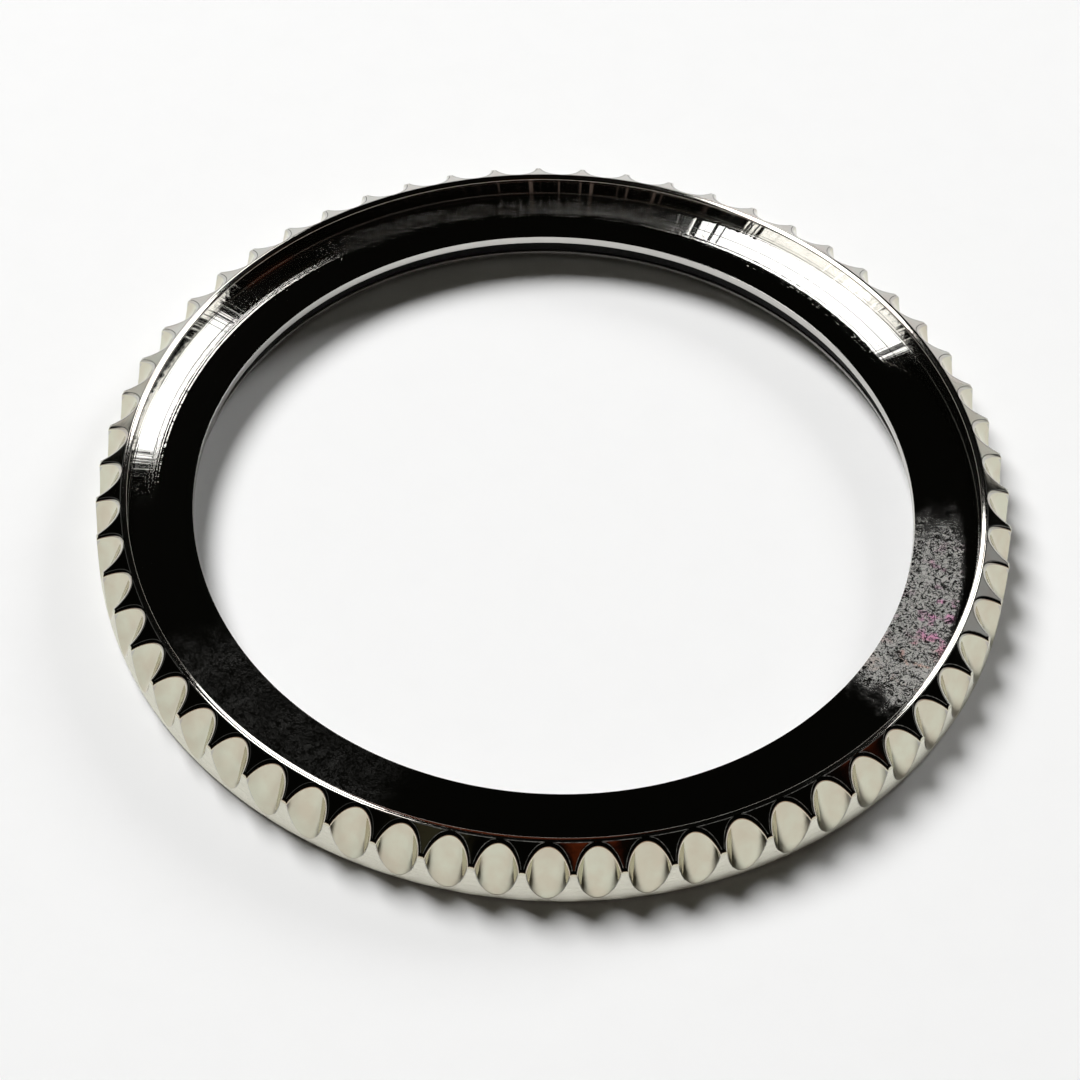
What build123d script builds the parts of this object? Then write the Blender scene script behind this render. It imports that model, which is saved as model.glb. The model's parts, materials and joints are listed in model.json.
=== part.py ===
from build123d import *
import os
from math import atan, cos, degrees, pi, radians, sin

# Rotating bezel of a diver's wristwatch, with the click work that sits under it.
# Millimetres. The bezel turns about Z, which points up, out through the watch glass.
# Z = 0 is the shoulder of the watch case: the click spring lies on it and the bezel runs over it.

# Bezel ring, seen from above
insert_seat_radius = 19.11
seat_width = 2.93
rim_land = 0.24
shoulder_run = 1.20

# Bezel ring, heights
base_gap = 0.04
floor_thickness = 0.75
insert_seat_depth = 1.03
shoulder_drop = 0.76
rim_fall = 0.07

# Scallops round the edge, each a round flute that leans in towards the top
scallop_count = 60
scallop_radius = 0.97
scallop_tilt = 23.6
scallop_foot = 0.29

# Collar of the bezel ring, which hangs from the inner edge of the floor and holds the gasket
lip_relief = 0.30
groove_depth = 0.45
groove_height = 0.77
collar_wall = 0.42
lip_height = 0.18
collar_clearance = 0.14

# Gasket
gasket_clearance = 0.03

# Click spring, a flat ring with a lug between each two pawls that keys it to the case
spring_thickness = 0.18
spring_inner_clearance = 0.17
spring_outer_clearance = 0.25
spring_band_width = 0.53
lug_width = 1.30
lug_reach = 0.77

# Pawls, cut out of the spring and bent up, each with an upright tab at its tip
pawl_count = 3
pawl_slot = 0.10
pawl_width = 0.65
pawl_length = 5.20
pawl_root = 1.40
bridge_width = 1.00
bridge_overlap = 0.20
pawl_clearance = 0.03
pawl_tooth_gap = 0.07

# Ratchet ring
ratchet_tooth_count = 120
ratchet_tooth_height = 0.26
ratchet_tip_land = 0.12
ratchet_back = 0.30
ratchet_clearance = 0.02
ratchet_room = 0.31

# One overrun for every cutter
overrun = 0.50

# Radii that follow from those sizes
neck_bore_radius = insert_seat_radius - seat_width
rim_radius = insert_seat_radius + rim_land
outer_radius = rim_radius + shoulder_run
lip_radius = neck_bore_radius + lip_relief
groove_radius = lip_radius + groove_depth
collar_radius = groove_radius + collar_wall
band_inner_radius = collar_radius + spring_inner_clearance
band_outer_radius = band_inner_radius + spring_band_width
pawl_inner_radius = band_outer_radius + pawl_slot
pawl_outer_radius = pawl_inner_radius + pawl_width
pocket_radius = pawl_outer_radius + spring_outer_clearance

# Heights that follow from those sizes
ratchet_tip_height = spring_thickness + ratchet_room
ratchet_root_height = ratchet_tip_height + ratchet_tooth_height
pocket_height = ratchet_root_height + ratchet_back
floor_height = pocket_height + floor_thickness
rim_height = floor_height + insert_seat_depth
shoulder_height = rim_height - shoulder_drop
collar_foot = spring_thickness + collar_clearance
groove_foot = collar_foot + lip_height
groove_top = groove_foot + groove_height

# Bezel ring: the whole section is turned, then the scallops are cut round its edge.
# The cutter of a scallop is a round bar that stands on the outer wall at the scallop's foot
# and leans in by the tilt.
tilt = radians(scallop_tilt)
scallop_start = Vector(outer_radius, 0, base_gap + scallop_foot)
scallop_axis = Vector(-sin(tilt), 0, cos(tilt))
scallop_outward = Vector(cos(tilt), 0, sin(tilt))
scallop_rise = (rim_height - base_gap - scallop_foot) / cos(tilt)
scallop_plane = Plane(
    origin=scallop_start + scallop_outward * scallop_radius - scallop_axis * scallop_radius,
    x_dir=(0, 1, 0),
    z_dir=scallop_axis,
)

with BuildPart() as scallop_cutter:
    with BuildSketch(scallop_plane):
        Circle(scallop_radius)
    extrude(amount=scallop_rise + 2 * scallop_radius + overrun)

with BuildPart() as bezel_ring:
    with BuildSketch(Plane.XZ):
        with BuildLine():
            Polyline(
                (outer_radius, base_gap),
                (outer_radius, shoulder_height),
                (rim_radius, rim_height),
                (insert_seat_radius, rim_height - rim_fall),
                (insert_seat_radius, floor_height),
                (neck_bore_radius, floor_height),
                (neck_bore_radius, groove_top),
                (groove_radius, groove_top),
                (groove_radius, groove_foot),
                (lip_radius, groove_foot),
                (lip_radius, collar_foot),
                (collar_radius, collar_foot),
                (collar_radius, pocket_height),
                (pocket_radius, pocket_height),
                (pocket_radius, base_gap),
                close=True,
            )
        make_face()
    revolve(axis=Axis.Z)
    with PolarLocations(0, scallop_count):
        add(scallop_cutter.part, mode=Mode.SUBTRACT)
bezel_ring.part.label = "bezel_ring"

# Gasket: a rubber ring in the collar's groove
gasket_inner_radius = lip_radius + gasket_clearance
gasket_outer_radius = groove_radius - gasket_clearance
gasket_foot = groove_foot + gasket_clearance
gasket_top = groove_top - gasket_clearance

with BuildPart() as bezel_gasket:
    with BuildSketch(Plane.XZ):
        with BuildLine():
            Polyline(
                (gasket_inner_radius, gasket_foot),
                (gasket_outer_radius, gasket_foot),
                (gasket_outer_radius, gasket_top),
                (gasket_inner_radius, gasket_top),
                close=True,
            )
        make_face()
    revolve(axis=Axis.Z)
bezel_gasket.part.label = "bezel_gasket"

# The tip of the first pawl ends on the X axis, and the tooth that it pushes against stands just past
# it. The pawl trails back from there, against the way that the bezel turns.
pawl_middle_radius = (pawl_inner_radius + pawl_outer_radius) / 2
tooth_face_angle = degrees(pawl_clearance / pawl_middle_radius)

# Ratchet ring: saw teeth that point down. Each cutter has the shape of one gap. Its depth and width
# grow with the radius, so that every face of a tooth is flat and points at the axis.
ratchet_inner_radius = collar_radius + ratchet_clearance
ratchet_outer_radius = pocket_radius - ratchet_clearance
ratchet_middle_radius = (ratchet_inner_radius + ratchet_outer_radius) / 2
gap_width = 2 * pi * ratchet_middle_radius / ratchet_tooth_count - ratchet_tip_land


def gap_outline(radius):
    """One gap between teeth, cut square to the radius: an upright face and a ramp."""
    growth = radius / ratchet_middle_radius
    front = gap_width * growth / 2
    depth = ratchet_tooth_height * growth
    return [
        (front, -overrun * growth),
        (front, depth),
        (-front, 0),
        (-front, -overrun * growth),
    ]


with BuildPart() as gap_cutter:
    for gap_radius in (ratchet_inner_radius - overrun, ratchet_outer_radius + overrun):
        gap_plane = Plane(
            origin=(gap_radius, 0, ratchet_tip_height),
            x_dir=(0, 1, 0),
            z_dir=(1, 0, 0),
        )
        with BuildSketch(gap_plane):
            with BuildLine():
                Polyline(*gap_outline(gap_radius), close=True)
            make_face()
    loft(ruled=True)

gap_half_angle = degrees(atan(gap_width / 2 / ratchet_middle_radius))

with BuildPart() as ratchet_ring:
    with BuildSketch(Plane.XY.offset(ratchet_tip_height)):
        Circle(ratchet_outer_radius)
        Circle(ratchet_inner_radius, mode=Mode.SUBTRACT)
    extrude(amount=pocket_height - ratchet_tip_height)
    with PolarLocations(0, ratchet_tooth_count, start_angle=tooth_face_angle - gap_half_angle):
        add(gap_cutter.part, mode=Mode.SUBTRACT)
ratchet_ring.part.label = "ratchet_ring"

# Click spring: a flat band, lugs on its inner edge, and pawls that run beside its outer edge.
# A pawl is a strip of the same sheet, bent up where it leaves its root, with its end turned upright.
pawl_rise = ratchet_tip_height - pawl_tooth_gap - spring_thickness
pawl_slope = pawl_rise / pawl_length
tab_setback = pawl_clearance + spring_thickness
tab_depth = ratchet_tooth_height * (1 - tab_setback / gap_width)
tab_height = ratchet_tip_height + tab_depth - pawl_clearance
root_end = pawl_length + pawl_root

with BuildPart() as pawl:
    with BuildSketch(Plane.YZ):
        with BuildLine():
            Polyline(
                (-root_end, 0),
                (-pawl_length, 0),
                (0, pawl_rise),
                (0, tab_height),
                (-spring_thickness, tab_height),
                (-spring_thickness, pawl_rise + spring_thickness * (1 - pawl_slope)),
                (-pawl_length, spring_thickness),
                (-root_end, spring_thickness),
                close=True,
            )
        make_face()
    extrude(amount=pawl_outer_radius)
    with BuildSketch(Plane.XY):
        Circle(pawl_outer_radius)
        Circle(pawl_inner_radius, mode=Mode.SUBTRACT)
    extrude(amount=tab_height, mode=Mode.INTERSECT)

lug_centre = band_inner_radius - (lug_reach - bridge_overlap) / 2
lug_angle = 180 / pawl_count
bridge_centre = (band_outer_radius + pawl_inner_radius) / 2
bridge_angle = -degrees((pawl_length + pawl_root / 2) / bridge_centre)

with BuildPart() as click_spring:
    with BuildSketch(Plane.XY):
        Circle(band_outer_radius)
        Circle(band_inner_radius, mode=Mode.SUBTRACT)
        with PolarLocations(lug_centre, pawl_count, start_angle=lug_angle):
            Rectangle(lug_reach + bridge_overlap, lug_width)
        with PolarLocations(bridge_centre, pawl_count, start_angle=bridge_angle):
            Rectangle(pawl_slot + 2 * bridge_overlap, bridge_width)
    extrude(amount=spring_thickness)
    with PolarLocations(0, pawl_count):
        add(pawl.part)
click_spring.part.label = "click_spring"

# Each piece goes to its own file.
os.makedirs("parts", exist_ok=True)
export_step(bezel_ring.part, "parts/bezel_ring.step")
export_step(bezel_gasket.part, "parts/bezel_gasket.step")
export_step(ratchet_ring.part, "parts/ratchet_ring.step")
export_step(click_spring.part, "parts/click_spring.step")
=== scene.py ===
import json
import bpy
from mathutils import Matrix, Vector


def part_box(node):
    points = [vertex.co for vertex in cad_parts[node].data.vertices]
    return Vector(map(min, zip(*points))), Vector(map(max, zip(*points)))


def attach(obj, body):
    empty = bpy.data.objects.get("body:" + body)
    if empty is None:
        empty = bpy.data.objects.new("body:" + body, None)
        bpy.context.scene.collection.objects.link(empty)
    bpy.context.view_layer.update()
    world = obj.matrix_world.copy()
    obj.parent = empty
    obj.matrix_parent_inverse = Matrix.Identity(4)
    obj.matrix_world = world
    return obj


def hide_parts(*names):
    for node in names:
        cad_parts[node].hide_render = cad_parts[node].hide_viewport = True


bl_info = {
    "name": "Rotating watch bezel",
    "version": (1, 0, 0),
    "blender": (4, 5, 0),
    "location": "3D View > Sidebar > Bezel",
    "description": "Models and finishes the bezel of a diver's watch, and lights it on a pale table",
    "category": "Object",
}

from math import cos, hypot, pi, radians, sin, tan

import bmesh
import bpy
from bpy.props import FloatProperty, FloatVectorProperty, IntProperty, PointerProperty
from mathutils import Matrix, Vector

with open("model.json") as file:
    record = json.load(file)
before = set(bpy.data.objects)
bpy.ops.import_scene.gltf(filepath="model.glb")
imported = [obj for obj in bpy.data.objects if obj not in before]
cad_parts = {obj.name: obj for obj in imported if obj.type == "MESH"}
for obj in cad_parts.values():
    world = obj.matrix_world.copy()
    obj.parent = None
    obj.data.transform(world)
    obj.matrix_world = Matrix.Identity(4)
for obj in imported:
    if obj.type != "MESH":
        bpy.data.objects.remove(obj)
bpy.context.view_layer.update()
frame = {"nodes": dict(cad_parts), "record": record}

# New pieces are modelled in millimetres and brought to metres when they are finished.
MM = 0.001

# In millimetres: points this near are one point, and an edge this near belongs to a corner.
SAME_PLACE = 0.002
CORNER_REACH = 10 * SAME_PLACE

# A flute's polished edge has this share of its width at the tooth tip, and the whole after a climb in
# millimetres. Near the rim it is no wider than a slope times its distance, less a margin.
EDGE_AT_TIP = 0.75
EDGE_CLIMB = 0.35
EDGE_ROOM_SLOPE = 1.18
EDGE_ROOM_MARGIN = 0.055

# The dulled line beside that edge, which carries a painted glint, starts this far from the rim and above
# the tips, in millimetres.
LINE_FROM_RIM = 0.035
LINE_FROM_TIPS = 0.1

# Faces that meet with less bend than this are one smooth surface.
SMOOTH_BEND = radians(12)

# How far a face of the shoulder or of the wall leans from its cone or its cylinder at most, and how
# far the normal of a flute's face leans from upright where the flute is flattest and steepest.
SHOULDER_LEAN = radians(3)
WALL_LEAN = radians(8)
FLUTE_FLATTEST = radians(52)
FLUTE_STEEPEST = radians(80)

# Distance of every lamp from the bezel, in metres
LAMP_DISTANCE = 1.5

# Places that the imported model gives, in metres
mounts = {mount["name"]: mount for mount in frame["record"]["mounts"]}
seat_mount = mounts["insert_seat"]
neck_mount = mounts["case_neck_bore"]
cad_seat_radius = seat_mount["dims"]["r_mm"] * MM
cad_seat_floor = seat_mount["pos_m"][2] - seat_mount["dims"]["length_mm"] * MM / 2
cad_neck_radius = neck_mount["dims"]["r_mm"] * MM
ring_low, ring_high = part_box("bezel_ring")
gasket_low, gasket_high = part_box("bezel_gasket")
_, ratchet_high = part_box("ratchet_ring")


def length(name, description, default):
    """A length that a user can change."""
    return FloatProperty(
        name=name, description=description, default=default, min=0, precision=5, unit="LENGTH"
    )


def colour(name, description, default):
    """A colour that a user can change."""
    return FloatVectorProperty(
        name=name, description=description, default=default, size=3, min=0, max=1, subtype="COLOR"
    )


def share(name, description, default):
    """A number from 0 to 1 that a user can change."""
    return FloatProperty(
        name=name, description=description, default=default, min=0, max=1, subtype="FACTOR"
    )


def plain_number(name, description, default):
    """A number that a user can change."""
    return FloatProperty(name=name, description=description, default=default, min=0)


def whole_number(name, description, default):
    """A whole number that a user can change."""
    return IntProperty(name=name, description=description, default=default, min=3)


def angle_of(name, description, degrees):
    """An angle that a user can change."""
    return FloatProperty(name=name, description=description, default=radians(degrees), subtype="ANGLE")


class RingSettings(bpy.types.PropertyGroup):
    """Sizes of the bezel ring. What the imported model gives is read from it."""

    outer_radius: length("Outer radius", "Radius of the wall round the ring", ring_high.x)
    base_height: length("Base", "Height of the underside above the case", ring_low.z)
    rim_height: length("Rim", "Height of the rim above the case", ring_high.z)
    seat_radius: length("Recess radius", "Radius of the recess for the insert", cad_seat_radius)
    floor_height: length("Recess floor", "Height of the recess floor above the case", cad_seat_floor)
    neck_radius: length("Bore radius", "Radius of the bore for the case neck", cad_neck_radius)
    rim_land: length("Rim land", "Width of the rim", 0.24 * MM)
    rim_fall: length("Rim fall", "How far the rim falls towards the recess", 0.07 * MM)
    shoulder_drop: length("Shoulder drop", "Height of the sloping shoulder", 0.76 * MM)
    flute_count: whole_number("Flutes", "Number of flutes round the edge", 60)
    flute_radius: length("Flute radius", "Radius of the cutter of a flute", 0.97 * MM)
    flute_tilt: angle_of("Flute lean", "How far a flute leans in", 23.6)
    flute_foot: length("Flute foot", "Height of a flute's lowest point above the base", 0.29 * MM)
    flute_break: length("Flute edge", "Width of the polished edge round a flute", 0.14 * MM)
    edge_line: length("Edge line", "Half width of the dulled line beside that edge", 0.018 * MM)
    foot_break: length("Flute foot edge", "Width of the edge where a flute leaves the wall", 0.03 * MM)
    rim_outer_break: length("Outer rim edge", "Width of the edge between rim and shoulder", 0.06 * MM)
    rim_inner_break: length("Inner rim edge", "Width of the edge between rim and recess", 0.05 * MM)
    seat_fillet: length("Recess corner", "Width of the round at the foot of the recess wall", 0.012 * MM)
    bore_break: length("Bore edge", "Width of the edge between recess floor and bore", 0.02 * MM)
    bore_taper: length("Bore taper", "How much wider the bore is at the recess floor", 0.04 * MM)
    bore_chamfer: length("Bore chamfer", "Width of the chamfer between the bore and the groove", 0.15 * MM)
    base_break: length("Base edge", "Width of the edge at the foot of the outer wall", 0.08 * MM)
    inner_break: length("Inner edges", "Width of the edges under the ring", 0.03 * MM)
    collar_wall: length("Collar wall", "Thickness of the collar outside the groove", 0.42 * MM)
    lip_height: length("Lip", "Height of the lip under the groove", 0.18 * MM)
    ratchet_gap: length("Ratchet gap", "Gap round the ratchet ring", 0.02 * MM)
    flute_steps: whole_number("Flute steps", "Steps from a flute's middle to its edge", 14)


class GasketSettings(bpy.types.PropertyGroup):
    """Sizes and colour of the gasket."""

    clearance: length("Clearance", "Gap between the gasket and its groove", 0.03 * MM)
    bore_radius: length("Bore radius", "Radius of the hole through the gasket", 16.51 * MM)
    inner_round: length("Inner round", "Width of the rounds that meet the case neck", 0.15 * MM)
    outer_round: length("Outer round", "Width of the rounds in the groove", 0.05 * MM)
    steps: whole_number("Steps", "Steps round the gasket", 360)
    rubber: colour("Rubber", "Colour of the gasket", (0.003, 0.003, 0.0028))


class SteelSettings(bpy.types.PropertyGroup):
    """Colours and finishes of the steel pieces."""

    polished: colour("Polished steel", "Colour of the shoulder and the rim", (0.51, 0.51, 0.475))
    # The flutes' colour is the polished steel made brighter and yellower: a painted warm reflection.
    fluted: colour("Fluted steel", "Colour of the polished flutes", (0.60, 0.597, 0.482))
    satin: colour("Satin steel", "Colour of the wall round the ring", (0.75, 0.74, 0.64))
    satin_slope: plain_number("Satin slope", "Upward slope of the wall's turned steps", 0.40)
    recess: colour("Turned steel", "Colour of the recess and the bore", (0.60, 0.59, 0.56))
    milled: colour("Milled steel", "Colour of the underside and the ratchet ring", (0.50, 0.49, 0.47))
    sprung: colour("Spring steel", "Colour of the click spring", (0.43, 0.42, 0.40))
    polish: share("Polish", "Roughness of the polished flanks", 0.045)
    mirror: share("Mirror", "Roughness of the smooth stretches of the recess", 0.05)
    haze: share("Haze", "Roughness of the worn patches of the recess", 0.46)
    grooves: plain_number("Grooves", "Flanks of turned grooves to a millimetre", 50)
    groove_slope: plain_number("Groove slope", "Slope of a groove's flanks", 0.29)
    # These two tints paint the iridescent sheen of the flecks in the right patch of the recess.
    violet_sheen: colour("Violet tint", "Tint of the stained flecks in the worn patch", (0.85, 0.36, 0.62))
    amber_sheen: colour("Amber tint", "Tint of the stained flecks at the patch's near end", (0.90, 0.48, 0.34))


class StageSettings(bpy.types.PropertyGroup):
    """Table, lights and camera."""

    table: colour("Table", "Colour of the table", (0.95, 0.95, 0.95))
    table_size: length("Table size", "Width of the table", 8.0)
    near_horizon: colour("Near horizon", "What steel mirrors low down on the near side", (0.68, 0.52, 0.46))
    far_horizon: colour("Far horizon", "What steel mirrors low down on the far side", (0.76, 0.77, 0.72))
    ceiling: colour("Ceiling", "What steel mirrors overhead", (0.002, 0.002, 0.0015))
    olive: colour("Olive", "A dim olive patch of the room that steel mirrors", (0.035, 0.032, 0.018))
    russet: colour("Russet", "A dim warm patch of the room that steel mirrors", (0.110, 0.021, 0.006))
    fill: colour("Fill", "Soft light all round", (0.030, 0.029, 0.023))
    main_light: share("Main light", "The far left soft box's share of the table's light", 0.83)
    side_light: share("Side light", "The far right soft box's share of the table's light", 0.125)
    streak: plain_number("Streak", "Brightness of the lamps that the recess and the rim mirror", 5.5)
    wall_streak: plain_number("Wall streak", "Brightness of the lamp that the recess wall mirrors", 6)
    card: plain_number("Card", "Brightness of the card at the right that steel mirrors", 0.40)
    lens: plain_number("Lens", "Focal length of the camera, in millimetres", 127.72)
    sensor: plain_number("Sensor", "Width of the camera's sensor, in millimetres", 36)
    camera_roll: angle_of("Roll", "Turn of the camera about its view", 2.7043)
    camera_elevation: angle_of("Elevation", "Height angle of the camera", 50.9165)
    camera_azimuth: angle_of("Azimuth", "Turn of the camera about the bezel", -1.1723)
    camera_distance: length("Distance", "Distance of the camera from its aim", 0.17053)
    aim: FloatVectorProperty(
        name="Aim", description="Point that the camera looks at, before the azimuth turns it",
        default=(-0.000563, -0.002638, 0.00207), subtype="XYZ", unit="LENGTH",
    )


def only(piece):
    """Selects one object alone and makes it the active one."""
    bpy.ops.object.select_all(action="DESELECT")
    piece.select_set(True)
    bpy.context.view_layer.objects.active = piece


def outline_of(name, points, closed):
    """A chain of edges through points (radius, height) in the plane of X and Z, left in edit mode."""
    bpy.ops.object.select_all(action="DESELECT")
    bpy.ops.mesh.primitive_plane_add(size=1)
    chain = bpy.context.object
    chain.name = name
    bpy.ops.object.mode_set(mode="EDIT")
    bpy.ops.mesh.merge(type="CENTER")
    here = Vector((points[0][0], 0, points[0][1]))
    bpy.ops.transform.translate(value=here)
    for radius, height in points[1:] + (points[:1] if closed else []):
        there = Vector((radius, 0, height))
        bpy.ops.mesh.extrude_region_move(TRANSFORM_OT_translate={"value": there - here})
        here = there
    bpy.ops.mesh.select_all(action="SELECT")
    bpy.ops.mesh.remove_doubles(threshold=SAME_PLACE)
    return chain


def turn(steps):
    """Turns the chain being edited once round Z."""
    bpy.ops.mesh.select_all(action="SELECT")
    bpy.ops.mesh.spin(steps=steps, angle=2 * pi, center=(0, 0, 0), axis=(0, 0, 1))
    bpy.ops.mesh.select_all(action="SELECT")
    bpy.ops.mesh.remove_doubles(threshold=SAME_PLACE)
    bpy.ops.mesh.normals_make_consistent(inside=False)
    bpy.ops.object.mode_set(mode="OBJECT")


def sharp(edge):
    """Whether two faces meet at an edge with a clear bend."""
    return edge.calc_face_angle(0) > SMOOTH_BEND


def round_edges(piece, width_of, segments, slot=-1):
    """Rounds edges. width_of gives the width from an edge and its middle's radius and height."""
    only(piece)
    shape = bmesh.new()
    shape.from_mesh(piece.data)
    layers = shape.edges.layers.float
    weight = layers.get("bevel_weight_edge")
    if weight is None:
        weight = layers.new("bevel_weight_edge")
    widths = {}
    for edge in shape.edges:
        middle = (edge.verts[0].co + edge.verts[1].co) / 2
        widths[edge] = width_of(edge, hypot(middle.x, middle.y), middle.z)
    widest = max(widths.values())
    for edge, width in widths.items():
        edge[weight] = width / widest
    shape.to_mesh(piece.data)
    shape.free()
    bevel = piece.modifiers.new("Edges", "BEVEL")
    bevel.limit_method = "WEIGHT"
    bevel.width = widest
    bevel.segments = segments
    bevel.material = slot
    bevel.use_clamp_overlap = False
    bpy.ops.object.modifier_apply(modifier=bevel.name)


def finish_mesh(piece):
    """Smooths a piece but for its broad faces, and brings it to metres with its origin at zero."""
    only(piece)
    bpy.ops.object.shade_smooth()
    level = piece.modifiers.new("Normals", "WEIGHTED_NORMAL")
    level.keep_sharp = False
    bpy.ops.object.modifier_apply(modifier=level.name)
    piece.scale = (MM, MM, MM)
    bpy.ops.object.transform_apply(location=True, rotation=True, scale=True)


def crossing(gap, low, high):
    """The value between low and high at which gap changes sign."""
    below = gap(low) > 0
    for _ in range(50):
        middle = (low + high) / 2
        if (gap(middle) > 0) == below:
            low = middle
        else:
            high = middle
    return (low + high) / 2


def round_place(radius, angle, height):
    """A point given by its radius, its angle and its height."""
    return Vector((radius * cos(angle), radius * sin(angle), height))


class Flank:
    """The ring's outer wall and shoulder, and the flutes that are cut across them, in millimetres."""

    def __init__(self, ring):
        self.outer = ring.outer_radius / MM
        self.base = ring.base_height / MM
        self.rim = ring.rim_height / MM
        self.rim_radius = (ring.seat_radius + ring.rim_land) / MM
        self.tips = self.rim - ring.shoulder_drop / MM
        self.half_pitch = pi / ring.flute_count
        self.cutter = ring.flute_radius / MM
        self.lean = ring.flute_tilt
        self.axis_radius = self.outer + self.cutter * cos(self.lean)
        self.axis_height = self.base + ring.flute_foot / MM + self.cutter * sin(self.lean)
        self.widest = crossing(self.outside_tips, 0, pi / 2)

    def shoulder_radius(self, height):
        """Radius of the shoulder's cone at a height."""
        run = self.rim_radius - self.outer
        return self.outer + run * (height - self.tips) / (self.rim - self.tips)

    def on_shoulder(self, face):
        """Whether a face lies on the shoulder's cone, told by its normal."""
        centre = face.calc_center_median()
        drop = self.rim - self.tips
        upright = Vector((centre.x, centre.y, 0)).normalized() * drop
        upright.z = self.outer - self.rim_radius
        return centre.z > self.tips and face.normal.dot(upright.normalized()) > cos(SHOULDER_LEAN)

    def flute_x(self, turn_angle, height):
        """How far out one straight line of a flute is at a height. Its angle names the line."""
        axis = self.axis_radius - (height - self.axis_height) * tan(self.lean)
        return axis - self.cutter / cos(self.lean) * cos(turn_angle)

    def outside_tips(self, turn_angle):
        """How far outside the circle of the tooth tips that line passes."""
        return hypot(self.flute_x(turn_angle, self.tips), self.cutter * sin(turn_angle)) - self.outer

    def flute_end(self, turn_angle, radius_at, low, high):
        """Where that line comes out of the wall or of the shoulder."""
        across = self.cutter * sin(turn_angle)
        height = crossing(lambda z: hypot(self.flute_x(turn_angle, z), across) - radius_at(z), low, high)
        return Vector((self.flute_x(turn_angle, height), across, height))

    def foot(self, part):
        """Point on the wall's edge of a flute, from its lowest point at 0 to the tooth tip at 1."""
        return self.flute_end(part * self.widest, lambda z: self.outer, self.base, self.tips)

    def head(self, part):
        """Point on the shoulder's edge of a flute, from its highest point at 0 to the tooth tip at 1."""
        return self.flute_end(part * self.widest, self.shoulder_radius, self.tips, self.rim)

    def under(self, part):
        """Point on the base's edge up to the middle of the tooth, then up that middle to the tooth tip."""
        if part <= 0.5:
            return round_place(self.outer, 2 * part * self.half_pitch, self.base)
        height = self.base + (self.tips - self.base) * (2 * part - 1)
        return round_place(self.outer, self.half_pitch, height)

    def over(self, part):
        """Point on the rim's edge up to the middle of the tooth, then down that middle to the tooth tip."""
        if part <= 0.5:
            return round_place(self.rim_radius, 2 * part * self.half_pitch, self.rim)
        height = self.rim + (self.tips - self.rim) * (2 * part - 1)
        return round_place(self.shoulder_radius(height), self.half_pitch, height)


def fluted_flank(ring, flank):
    """The fluted outside of the ring: half of one flute and half a tooth, mirrored and repeated."""
    steps = ring.flute_steps
    rows = (flank.under, flank.foot, flank.head, flank.over)
    bpy.ops.object.select_all(action="DESELECT")
    bpy.ops.mesh.primitive_grid_add(x_subdivisions=steps, y_subdivisions=len(rows) - 1, size=1)
    piece = bpy.context.object
    for vertex in piece.data.vertices:
        row = rows[round((vertex.co.y + 0.5) * (len(rows) - 1))]
        vertex.co = row(round((vertex.co.x + 0.5) * steps) / steps)
    mirror = piece.modifiers.new("Other half", "MIRROR")
    mirror.use_axis = (False, True, False)
    mirror.merge_threshold = SAME_PLACE
    bpy.ops.object.modifier_apply(modifier=mirror.name)
    bpy.ops.object.mode_set(mode="EDIT")
    bpy.ops.mesh.select_all(action="SELECT")
    pitch = 2 * flank.half_pitch
    bpy.ops.mesh.spin(
        steps=ring.flute_count - 1, angle=2 * pi - pitch, center=(0, 0, 0), axis=(0, 0, 1), dupli=True
    )
    bpy.ops.object.mode_set(mode="OBJECT")
    return piece


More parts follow.
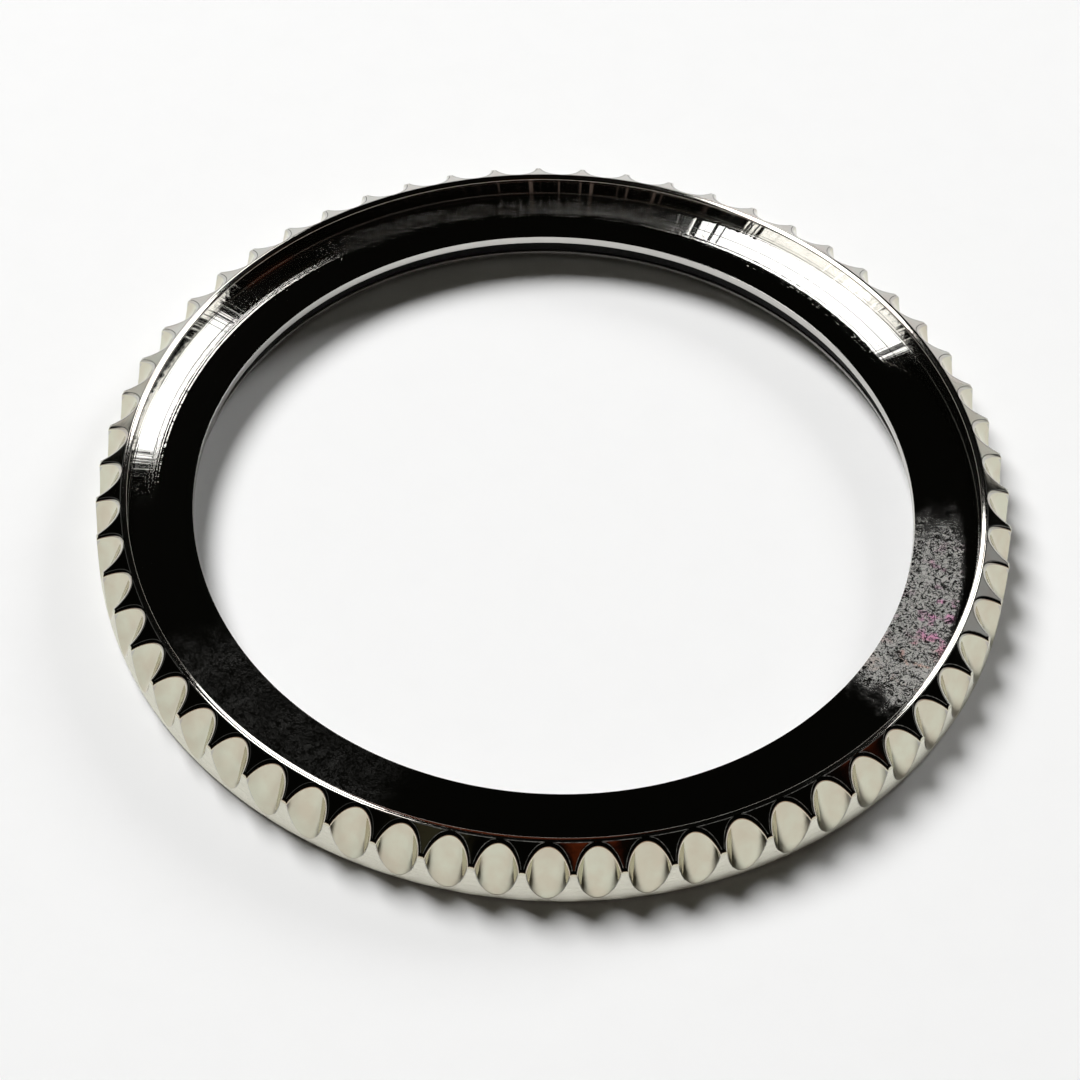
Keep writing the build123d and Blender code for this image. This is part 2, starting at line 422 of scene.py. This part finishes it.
class BEZEL_OT_ring(bpy.types.Operator):
    """Model the bezel ring, with its flutes, recess, collar and gasket groove"""

    bl_idname = "bezel.ring"
    bl_label = "Bezel ring"

    def execute(self, context):
        ring = context.scene.bezel_ring
        steel = context.scene.bezel_steel
        gasket = context.scene.bezel_gasket
        gap = gasket.clearance
        rim_radius = (ring.seat_radius + ring.rim_land) / MM
        rim = ring.rim_height / MM
        seat = ring.seat_radius / MM
        seat_top = rim - ring.rim_fall / MM
        floor = ring.floor_height / MM
        neck = ring.neck_radius / MM
        base = ring.base_height / MM
        groove = (gasket_high.x + gap) / MM
        groove_top = (gasket_high.z + gap) / MM
        groove_foot = (gasket_low.z - gap) / MM
        lip_foot = groove_foot - ring.lip_height / MM
        lip = (gasket.bore_radius - gap) / MM
        collar = groove + ring.collar_wall / MM
        pocket_top = ratchet_high.z / MM
        pocket = (ratchet_high.x + ring.ratchet_gap) / MM
        outer = ring.outer_radius / MM
        chamfer = ring.bore_chamfer / MM
        bore_top = (neck + ring.bore_taper / MM, floor)
        section = [
            (rim_radius, rim),
            (seat, seat_top),
            (seat, floor),
            bore_top,
            (neck, groove_top + chamfer),
            (neck + chamfer, groove_top),
            (groove, groove_top),
            (groove, groove_foot),
            (lip, groove_foot),
            (lip, lip_foot),
            (collar, lip_foot),
            (collar, pocket_top),
            (pocket, pocket_top),
            (pocket, base),
            (outer, base),
        ]
        breaks = {
            (rim_radius, rim): ring.rim_outer_break,
            (seat, seat_top): ring.rim_inner_break,
            (seat, floor): ring.seat_fillet,
            bore_top: ring.bore_break,
            (neck, groove_top + chamfer): ring.inner_break,
            (lip, groove_foot): ring.inner_break,
            (lip, lip_foot): ring.inner_break,
            (collar, lip_foot): ring.inner_break,
            (pocket, base): ring.inner_break,
            (outer, base): ring.base_break,
        }
        tips = rim - ring.shoulder_drop / MM

        def break_at(edge, radius, height):
            """Width of the break at an edge: a listed corner of the section, or the edge of a flute."""
            if not sharp(edge):
                return 0
            for (corner_radius, corner_height), width in breaks.items():
                if hypot(radius - corner_radius, height - corner_height) < CORNER_REACH:
                    return width / MM
            if radius < rim_radius:
                return 0
            if height < tips - SAME_PLACE:
                return ring.foot_break / MM
            climb = min(1, (height - tips) / EDGE_CLIMB)
            room = EDGE_ROOM_SLOPE * (radius - rim_radius) - EDGE_ROOM_MARGIN
            return min(ring.flute_break / MM * (EDGE_AT_TIP + (1 - EDGE_AT_TIP) * climb), room)

        flank = Flank(ring)

        def line_at(edge, radius, height):
            """Width of the dulled line at an edge, which lies between the shoulder and a flute's edge."""
            if [flank.on_shoulder(face) for face in edge.link_faces].count(True) != 1:
                return 0
            if radius < rim_radius + LINE_FROM_RIM or height < tips + LINE_FROM_TIPS:
                return 0
            return ring.edge_line / MM

        flutes = fluted_flank(ring, flank)
        piece = outline_of("bezel_ring_polished", section, closed=False)
        turn(ring.flute_count * ring.flute_steps)
        flutes.select_set(True)
        bpy.ops.object.join()
        bpy.ops.object.mode_set(mode="EDIT")
        bpy.ops.mesh.select_all(action="SELECT")
        bpy.ops.mesh.remove_doubles(threshold=SAME_PLACE)
        bpy.ops.mesh.normals_make_consistent(inside=False)
        bpy.ops.object.mode_set(mode="OBJECT")
        finishes = (polished_steel, turned_steel, milled_steel, satin_steel, dulled_steel_with_glint, fluted_steel)
        for finish in finishes:
            piece.data.materials.append(finish(steel))
        round_edges(piece, break_at, segments=3)
        round_edges(piece, line_at, segments=1, slot=finishes.index(dulled_steel_with_glint))
        finish_mesh(piece)
        for face in piece.data.polygons:
            radius = hypot(face.center.x, face.center.y) / MM
            height = face.center.z / MM
            outwards = Vector((face.center.x, face.center.y, 0)).normalized()
            faces_out = face.normal.dot(outwards) > cos(WALL_LEAN)
            leans_back = cos(FLUTE_STEEPEST) < face.normal.z < cos(FLUTE_FLATTEST)
            if face.material_index == finishes.index(dulled_steel_with_glint):
                continue
            if radius > pocket + SAME_PLACE and height < tips and faces_out:
                face.material_index = finishes.index(satin_steel)
            elif radius > rim_radius + SAME_PLACE and leans_back:
                face.material_index = finishes.index(fluted_steel)
            elif radius > seat + SAME_PLACE and (height > pocket_top or radius > pocket + SAME_PLACE):
                face.material_index = finishes.index(polished_steel)
            elif height > groove_top:
                face.material_index = finishes.index(turned_steel)
            else:
                face.material_index = finishes.index(milled_steel)
        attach(piece, "bezel")
        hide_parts("bezel_ring")
        return {"FINISHED"}


class BEZEL_OT_gasket(bpy.types.Operator):
    """Model the gasket in the groove of the bezel ring"""

    bl_idname = "bezel.gasket"
    bl_label = "Gasket"

    def execute(self, context):
        gasket = context.scene.bezel_gasket
        outer = gasket_high.x / MM
        inner = gasket.bore_radius / MM
        top = gasket_high.z / MM
        foot = gasket_low.z / MM
        section = [(inner, foot), (outer, foot), (outer, top), (inner, top)]
        piece = outline_of("bezel_gasket_rubber", section, closed=True)
        turn(gasket.steps)
        middle = (inner + outer) / 2

        def break_at(edge, radius, height):
            """Width of the round at an edge: the broad ones lie inside, where the case neck rubs."""
            if not sharp(edge):
                return 0
            return (gasket.inner_round if radius < middle else gasket.outer_round) / MM

        round_edges(piece, break_at, segments=5)
        finish_mesh(piece)
        piece.data.materials.append(black_rubber(gasket.rubber))
        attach(piece, "bezel")
        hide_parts("bezel_gasket")
        return {"FINISHED"}


class BEZEL_OT_click_work(bpy.types.Operator):
    """Finish the ratchet ring and the click spring"""

    bl_idname = "bezel.click_work"
    bl_label = "Click work"

    def execute(self, context):
        steel = context.scene.bezel_steel
        finishes = {"ratchet_ring": milled_steel(steel), "click_spring": spring_steel(steel)}
        for node, finish in finishes.items():
            piece = frame["nodes"][node]
            piece.data.materials.clear()
            piece.data.materials.append(finish)
        return {"FINISHED"}


class Finish:
    """A material with one Principled shader. Its patterns lie on coordinates in millimetres."""

    def __init__(self, name, base_colour, metallic, roughness):
        self.material = bpy.data.materials.new(name)
        self.material.use_nodes = True
        self.tree = self.material.node_tree
        self.shader = self.tree.nodes["Principled BSDF"]
        self.shader.inputs["Base Color"].default_value = (*base_colour, 1)
        self.shader.inputs["Metallic"].default_value = metallic
        self.shader.inputs["Roughness"].default_value = roughness
        place = self.tree.nodes.new("ShaderNodeTexCoord")
        scale = self.tree.nodes.new("ShaderNodeMapping")
        scale.inputs["Scale"].default_value = (1 / MM, 1 / MM, 1 / MM)
        self.link(place.outputs["Object"], scale.inputs["Vector"])
        self.place = scale.outputs["Vector"]

    def link(self, source, target):
        """Links two sockets."""
        self.tree.links.new(source, target)

    def maths(self, operation, first, second=0.0, third=0.0):
        """The result of a Math node on sockets or plain numbers."""
        node = self.tree.nodes.new("ShaderNodeMath")
        node.operation = operation
        for socket, value in zip(node.inputs, (first, second, third)):
            if isinstance(value, (int, float)):
                socket.default_value = value
            else:
                self.link(value, socket)
        return node.outputs[0]

    def product(self, first, second):
        """Two values multiplied."""
        return self.maths("MULTIPLY", first, second)

    def total(self, first, second):
        """Two values added."""
        return self.maths("ADD", first, second)

    def scaled(self, value, factor, offset):
        """A value multiplied, with an offset added."""
        return self.maths("MULTIPLY_ADD", value, factor, offset)

    def spread(self, value, from_low, from_high, to_low, to_high):
        """A value brought from one range to another, held at its ends."""
        node = self.tree.nodes.new("ShaderNodeMapRange")
        self.link(value, node.inputs["Value"])
        ends = {"From Min": from_low, "From Max": from_high, "To Min": to_low, "To Max": to_high}
        for name, end in ends.items():
            node.inputs[name].default_value = end
        return node.outputs["Result"]

    def noise(self, per_mm, detail=2.0, distortion=0.0):
        """Noise with so many features to a millimetre."""
        node = self.tree.nodes.new("ShaderNodeTexNoise")
        node.inputs["Scale"].default_value = per_mm
        node.inputs["Detail"].default_value = detail
        node.inputs["Distortion"].default_value = distortion
        self.link(self.place, node.inputs["Vector"])
        return node.outputs["Fac"]

    def bands(self, value, per_mm, detail=2.0):
        """Noise along one value, which makes lines of uneven width across it."""
        node = self.tree.nodes.new("ShaderNodeTexNoise")
        node.noise_dimensions = "1D"
        node.inputs["Scale"].default_value = per_mm
        node.inputs["Detail"].default_value = detail
        self.link(value, node.inputs["W"])
        return node.outputs["Fac"]

    def axes(self):
        """The three coordinates, in millimetres."""
        node = self.tree.nodes.new("ShaderNodeSeparateXYZ")
        self.link(self.place, node.inputs[0])
        return node.outputs

    def radius(self):
        """Distance from the Z axis, in millimetres."""
        x, y, _ = self.axes()
        return self.maths("SQRT", self.total(self.product(x, x), self.product(y, y)))

    def angle(self):
        """Angle round the Z axis from the X axis, in radians."""
        x, y, _ = self.axes()
        return self.maths("ARCTAN2", y, x)

    def tint(self, value, first, second):
        """Sets the base colour between two, as the value goes from 0 to 1."""
        self.link(mixed(self.tree, value, first, second), self.shader.inputs["Base Color"])

    def worms(self, per_mm, narrow, wide, darkest):
        """Winding lines where a noise passes its middle, at the darkest value, on a ground of 1."""
        field = self.noise(per_mm, detail=2, distortion=1.2)
        ridge = self.maths("ABSOLUTE", self.total(field, -0.5))
        return self.spread(ridge, narrow, wide, darkest, 1.0)

    def patches(self, angle, places):
        """Ragged patches round the ring, each given by its middle, its half width and its strength."""
        blend = 0.05
        covered = 0.0
        ragged = self.scaled(self.noise(1.2, detail=4), 0.16, -0.08)
        for middle, half_width, strength in places:
            away = self.maths("ABSOLUTE", self.total(angle, -middle))
            edge = self.total(away, ragged)
            patch = self.spread(edge, half_width - blend, half_width + blend, strength, 0.0)
            covered = self.total(patch, covered)
        return covered

    def rough(self, value):
        """Sets the roughness from a pattern."""
        self.link(value, self.shader.inputs["Roughness"])

    def bump(self, height, depth_mm, filter_width=0.1):
        """Raises the surface by a pattern of heights, of which 1 is depth_mm high.

        The finer the pattern's steps are, the narrower the filter has to be.
        """
        node = self.tree.nodes.new("ShaderNodeBump")
        node.inputs["Strength"].default_value = 1
        node.inputs["Distance"].default_value = depth_mm * MM
        node.inputs["Filter Width"].default_value = filter_width
        self.link(height, node.inputs["Height"])
        self.link(node.outputs["Normal"], self.shader.inputs["Normal"])


def mixed(tree, value, first, second):
    """A colour between two, each a socket or a plain colour, as the value goes from 0 to 1."""
    node = tree.nodes.new("ShaderNodeMix")
    node.data_type = "RGBA"
    tree.links.new(value, node.inputs["Factor"])
    for socket, part in ((node.inputs[6], first), (node.inputs[7], second)):
        if isinstance(part, bpy.types.NodeSocket):
            tree.links.new(part, socket)
        else:
            socket.default_value = (*part, 1)
    return node.outputs[2]


def shaded(base_colour, factor):
    """A colour made darker or lighter."""
    return tuple(min(1.0, part * factor) for part in base_colour)


def mirror_polish(name, metal, polish):
    """Mirror polish with faint cloudiness and wiping marks."""
    finish = Finish(name, metal, 1.0, polish)
    clouds = finish.spread(finish.noise(0.9, detail=3), 0.35, 0.65, 0.0, 1.0)
    pinkish = tuple(part * warmth for part, warmth in zip(metal, (0.99, 0.91, 0.89)))
    finish.tint(clouds, pinkish, shaded(metal, 1.05))
    wiping = finish.noise(26, detail=3)
    finish.rough(finish.spread(wiping, 0.35, 0.75, polish, 2.2 * polish))
    finish.bump(finish.noise(3.0, detail=1), 0.0012)
    return finish.material


def polished_steel(steel):
    """Polish of the shoulder and the rim."""
    return mirror_polish("steel_polished_shoulder", steel.polished, steel.polish)


def fluted_steel(steel):
    """Polish of the flutes, in a brighter, yellower colour than the same steel of the shoulder, which
    paints the warm reflection the flutes show.
    """
    return mirror_polish("steel_flute_painted_reflection", steel.fluted, steel.polish)


def turned_steel(steel):
    """Mirror bright recess, with turned grooves in its outer half and two patches of mottled haze."""
    finish = Finish("steel_turned_recess", steel.recess, 1.0, steel.mirror)
    x, y, _ = finish.axes()
    radius = finish.radius()
    angle = finish.angle()

    # The grooves lie in the outer half of the far side, and fade out before the patch at the right.
    ragged = finish.scaled(finish.noise(6, detail=4), 0.5, radius)
    combed = finish.scaled(finish.bands(radius, 9, detail=3), 0.9, ragged)
    leaning = finish.scaled(x, 0.020, combed)
    outer_half = finish.spread(leaning, 18.26, 18.62, 0.0, 1.0)
    far_side = finish.spread(y, -1.5, 1.0, 0.0, 1.0)
    right_end = finish.spread(finish.scaled(x, -0.45, y), 0.0, 2.5, 0.0, 1.0)
    grooved = finish.product(outer_half, finish.product(far_side, right_end))
    lines = finish.spread(finish.bands(radius, 8, detail=3), 0.33, 0.38, 0.0, 1.0)
    chatter = finish.spread(finish.bands(angle, 60), 0.3, 0.7, 0.88, 1.12)
    evenness = finish.product(lines, chatter)
    depth = finish.product(evenness, grooved)
    grooves = finish.maths("PINGPONG", finish.product(radius, steel.grooves), 1.0)
    groove_depth = steel.groove_slope / steel.grooves
    finish.bump(finish.product(grooves, depth), groove_depth, filter_width=0.015)

    # The haze lies in two patches, a strong one at the right and a weak one at the near left.
    worms = finish.product(finish.worms(3.2, 0.015, 0.06, 0.15), finish.worms(6.5, 0.01, 0.05, 0.4))
    hazy = finish.patches(angle, ((-0.32, 0.31, 1.0), (-2.30, 0.34, 0.20)))
    worn = finish.product(worms, hazy)
    rim_side = finish.spread(finish.scaled(angle, 1.4, ragged), 18.40, 18.70, 1.0, 0.0)
    far_end = finish.spread(angle, -0.20, -0.02, 1.0, 0.55)
    cloudy = finish.spread(finish.noise(0.9, detail=3), 0.35, 0.65, 0.72, 1.0)
    streaky = finish.spread(finish.bands(angle, 45, detail=3), 0.35, 0.65, 0.80, 1.0)
    tapered = finish.product(rim_side, far_end)
    uneven = finish.product(finish.product(cloudy, streaky), tapered)
    haze = finish.product(worn, uneven)
    finish.rough(finish.scaled(haze, steel.haze, steel.mirror))

    # Flecks of painted iridescent sheen, amber at the near end and violet beyond, lie in the patch at the
    # right.
    sheen_flecks = finish.spread(finish.noise(1.2, detail=3), 0.55, 0.64, 0.0, 0.8)
    outwards = finish.spread(radius, 16.6, 17.8, 0.2, 1.0)
    sheen_patch = finish.patches(angle, ((-0.36, 0.24, 1.0),))
    sheen_painted = finish.product(finish.product(sheen_flecks, outwards), sheen_patch)
    darker = shaded(steel.recess, 0.92)
    lighter = shaded(steel.recess, 1.04)
    plain = mixed(finish.tree, finish.noise(1.4, detail=3), darker, lighter)
    sheen_colour = mixed(finish.tree, finish.spread(angle, -0.50, -0.40, 0.0, 1.0), steel.amber_sheen, steel.violet_sheen)
    finish.tint(sheen_painted, plain, sheen_colour)
    return finish.material


def satin_steel(steel):
    """Satin wall, with the fine steps of its turning round it, each facing a little upwards."""
    finish = Finish("steel_satin_wall", steel.satin, 1.0, 0.32)
    _, _, z = finish.axes()
    lines = finish.bands(z, 22, detail=3)
    finish.rough(finish.spread(lines, 0.3, 0.7, 0.24, 0.34))
    finish.tint(finish.noise(1.3, detail=4), shaded(steel.satin, 0.92), shaded(steel.satin, 1.06))
    steps_per_mm = 12
    steps = finish.maths("FRACT", finish.product(z, -steps_per_mm))
    finish.bump(finish.scaled(lines, 0.06, steps), steel.satin_slope / steps_per_mm)
    return finish.material


def dulled_steel_with_glint(steel):
    """The line beside a flute's edge: duller, rougher steel with a painted glint, light over an arc at the
    near right and painted near black elsewhere.
    """
    finish = Finish("steel_dulled_edge_painted_glint", steel.polished, 0.68, 0.5)
    # Painted glint: the colour is light only along the arc from the right round to the front, and near
    # black round the rest of the ring.
    painted_glint_arc = finish.patches(finish.angle(), ((-1.10, 0.75, 0.75),))
    wear_and_glint = finish.spread(finish.noise(7, detail=3), 0.35, 0.65, 0.30, 1.0)
    finish.rough(finish.spread(wear_and_glint, 0.30, 1.0, 0.30, 0.60))
    finish.tint(finish.product(wear_and_glint, painted_glint_arc), shaded(steel.polished, 0.12), steel.polished)
    return finish.material


def milled_steel(steel):
    """Plain machined finish of what lies under the ring."""
    finish = Finish("steel_milled", steel.milled, 1.0, 0.3)
    radius = finish.radius()
    lines = finish.bands(radius, 18)
    finish.rough(finish.spread(lines, 0.3, 0.7, 0.22, 0.36))
    finish.tint(finish.noise(2.0, detail=4), shaded(steel.milled, 0.88), shaded(steel.milled, 1.08))
    finish.bump(lines, 0.004)
    return finish.material


def spring_steel(steel):
    """Rolled sheet with a fine straight grain."""
    finish = Finish("steel_rolled_spring", steel.sprung, 1.0, 0.3)
    x, y, _ = finish.axes()
    grain = finish.bands(finish.scaled(x, 0.3, y), 16, detail=4)
    finish.rough(finish.spread(grain, 0.3, 0.7, 0.24, 0.42))
    finish.tint(finish.noise(1.6, detail=4), shaded(steel.sprung, 0.85), shaded(steel.sprung, 1.1))
    finish.bump(grain, 0.003)
    return finish.material


def black_rubber(rubber):
    """Moulded black rubber, with a faint bloom."""
    finish = Finish("rubber_black", rubber, 0.0, 0.55)
    finish.shader.inputs["Specular IOR Level"].default_value = 0.2
    finish.tint(finish.noise(5, detail=4), rubber, shaded(rubber, 2.2))
    finish.rough(finish.spread(finish.noise(14, detail=3), 0.3, 0.7, 0.46, 0.68))
    finish.bump(finish.noise(30, detail=2), 0.004)
    return finish.material


def table_finish(table):
    """Matt pale table with a faint grain."""
    finish = Finish("table_pale", table, 0.0, 0.9)
    finish.shader.inputs["Specular IOR Level"].default_value = 0.1
    finish.tint(finish.noise(0.5, detail=4), shaded(table, 0.985), shaded(table, 1.015))
    return finish.material


def studio_sky(stage):
    """A world that is white to the camera, a soft even light, and to steel bright only low down."""
    world = bpy.data.worlds.new("studio")
    bpy.context.scene.world = world
    world.use_nodes = True
    tree = world.node_tree
    background = tree.nodes["Background"]
    rays = tree.nodes.new("ShaderNodeLightPath")
    direction = tree.nodes.new("ShaderNodeTexCoord")
    split = tree.nodes.new("ShaderNodeSeparateXYZ")
    tree.links.new(direction.outputs["Generated"], split.inputs[0])

    def fade(value, low, high):
        """A smooth step from 0 to 1 as the value goes from low to high."""
        node = tree.nodes.new("ShaderNodeMapRange")
        node.interpolation_type = "SMOOTHSTEP"
        node.inputs["From Min"].default_value = low
        node.inputs["From Max"].default_value = high
        tree.links.new(value, node.inputs["Value"])
        return node.outputs["Result"]

    # Dim patches of the room: colour, azimuth, elevation and half angle in degrees
    room = stage.ceiling
    patches = (
        (stage.olive, -124, 62, 6),
        (stage.russet, -75, 63, 4.5),
        (stage.russet, -4, 47, 5),
        (stage.russet, 86, 18, 6),
    )
    for patch, azimuth, elevation, half_angle in patches:
        towards = tree.nodes.new("ShaderNodeVectorMath")
        towards.operation = "DOT_PRODUCT"
        tree.links.new(direction.outputs["Generated"], towards.inputs[0])
        high = radians(elevation)
        towards.inputs[1].default_value = round_place(cos(high), radians(azimuth), sin(high))
        edge = (cos(radians(1.3 * half_angle)), cos(radians(0.7 * half_angle)))
        room = mixed(tree, fade(towards.outputs["Value"], *edge), room, patch)
    horizon_top = radians(7)
    room_foot = radians(11)
    overhead = fade(split.outputs["Z"], sin(horizon_top), sin(room_foot))
    horizon = mixed(tree, fade(split.outputs["Y"], -0.6, 0.3), stage.near_horizon, stage.far_horizon)
    steel_sees = mixed(tree, overhead, horizon, room)
    not_camera = mixed(tree, rays.outputs["Is Glossy Ray"], stage.fill, steel_sees)
    seen = mixed(tree, rays.outputs["Is Camera Ray"], not_camera, (1, 1, 1))
    tree.links.new(seen, background.inputs["Color"])


def lamp(name, azimuth, elevation, half_angle, power):
    """A round lamp that shines on the bezel, given by its direction and its half angle in degrees."""
    data = bpy.data.lights.new(name, "AREA")
    data.shape = "DISK"
    data.size = 2 * LAMP_DISTANCE * tan(radians(half_angle))
    data.energy = power
    holder = bpy.data.objects.new(name, data)
    bpy.context.scene.collection.objects.link(holder)
    turned = Matrix.Rotation(radians(azimuth), 4, "Z") @ Matrix.Rotation(radians(90 - elevation), 4, "Y")
    holder.matrix_world = turned @ Matrix.Translation((0, 0, LAMP_DISTANCE))
    return holder


def soft_box(name, azimuth, elevation, half_angle, share_of_light, table):
    """A lamp that lights the table by a share of full white. Steel doesn't mirror it."""
    reach = table[1] * sin(radians(elevation))
    power = share_of_light * (pi * LAMP_DISTANCE) ** 2 / reach
    holder = lamp(name, azimuth, elevation, half_angle, power)
    holder.visible_glossy = False


def streak_lamp(name, azimuth, elevation, half_angle, brightness):
    """A lamp that only steel mirrors, as bright as said."""
    area = pi * (LAMP_DISTANCE * tan(radians(half_angle))) ** 2
    holder = lamp(name, azimuth, elevation, half_angle, brightness * pi * area)
    holder.visible_diffuse = False


class BEZEL_OT_stage(bpy.types.Operator):
    """Set up the table, the lights and the camera"""

    bl_idname = "bezel.stage"
    bl_label = "Table, lights and camera"

    def execute(self, context):
        stage = context.scene.bezel_stage
        bpy.ops.object.select_all(action="DESELECT")
        bpy.ops.mesh.primitive_plane_add(size=stage.table_size)
        table = context.object
        table.name = "table"
        table.data.materials.append(table_finish(stage.table))
        soft_box("main_soft_box", 128, 47, 14, stage.main_light, stage.table)
        soft_box("side_soft_box", 50, 25, 9, stage.side_light, stage.table)
        streak_lamp("left_streak_lamp", 57, 52.3, 6.5, stage.streak)
        streak_lamp("right_streak_lamp", 124, 66.6, 7.7, stage.streak)
        streak_lamp("right_rim_lamp", 109, 38, 7.3, stage.streak)
        streak_lamp("left_rim_lamp", 79, 27, 4.5, stage.streak)
        streak_lamp("wall_streak_lamp", 153.7, 67.2, 9.5, stage.wall_streak)
        streak_lamp("side_card", 27, 21.5, 9.5, stage.card)
        studio_sky(stage)
        eye = bpy.data.cameras.new("camera")
        eye.lens = stage.lens
        eye.sensor_width = stage.sensor
        eye.clip_start = 0.001
        camera = bpy.data.objects.new("camera", eye)
        context.scene.collection.objects.link(camera)
        back = Vector((0, -cos(stage.camera_elevation), sin(stage.camera_elevation)))
        turned = Matrix.Rotation(stage.camera_azimuth, 4, "Z")
        upright = back.to_track_quat("Z", "Y").to_matrix().to_4x4()
        place = Matrix.Translation(Vector(stage.aim) + back * stage.camera_distance)
        camera.matrix_world = turned @ place @ upright @ Matrix.Rotation(stage.camera_roll, 4, "Z")
        context.scene.camera = camera
        context.scene.view_settings.view_transform = "Standard"
        return {"FINISHED"}


class BEZEL_PT_panel(bpy.types.Panel):
    """Lists the pieces of the bezel and the stage"""

    bl_label = "Rotating bezel"
    bl_idname = "BEZEL_PT_panel"
    bl_space_type = "VIEW_3D"
    bl_region_type = "UI"
    bl_category = "Bezel"

    def draw(self, context):
        for operator in OPERATORS:
            self.layout.operator(operator.bl_idname)
        for settings in SETTINGS:
            box = self.layout.box()
            group = getattr(context.scene, settings)
            for name in group.bl_rna.properties.keys():
                if name not in ("rna_type", "name"):
                    box.prop(group, name)


OPERATORS = (BEZEL_OT_ring, BEZEL_OT_gasket, BEZEL_OT_click_work, BEZEL_OT_stage)
SETTINGS = {
    "bezel_ring": RingSettings,
    "bezel_gasket": GasketSettings,
    "bezel_steel": SteelSettings,
    "bezel_stage": StageSettings,
}


def register():
    for settings in SETTINGS.values():
        bpy.utils.register_class(settings)
    for name, settings in SETTINGS.items():
        setattr(bpy.types.Scene, name, PointerProperty(type=settings))
    for operator in OPERATORS:
        bpy.utils.register_class(operator)
    bpy.utils.register_class(BEZEL_PT_panel)


def unregister():
    bpy.utils.unregister_class(BEZEL_PT_panel)
    for operator in reversed(OPERATORS):
        bpy.utils.unregister_class(operator)
    for name, settings in SETTINGS.items():
        delattr(bpy.types.Scene, name)
        bpy.utils.unregister_class(settings)


def main():
    register()
    bpy.ops.bezel.ring()
    bpy.ops.bezel.gasket()
    bpy.ops.bezel.click_work()
    bpy.ops.bezel.stage()


if __name__ == "__main__":
    main()
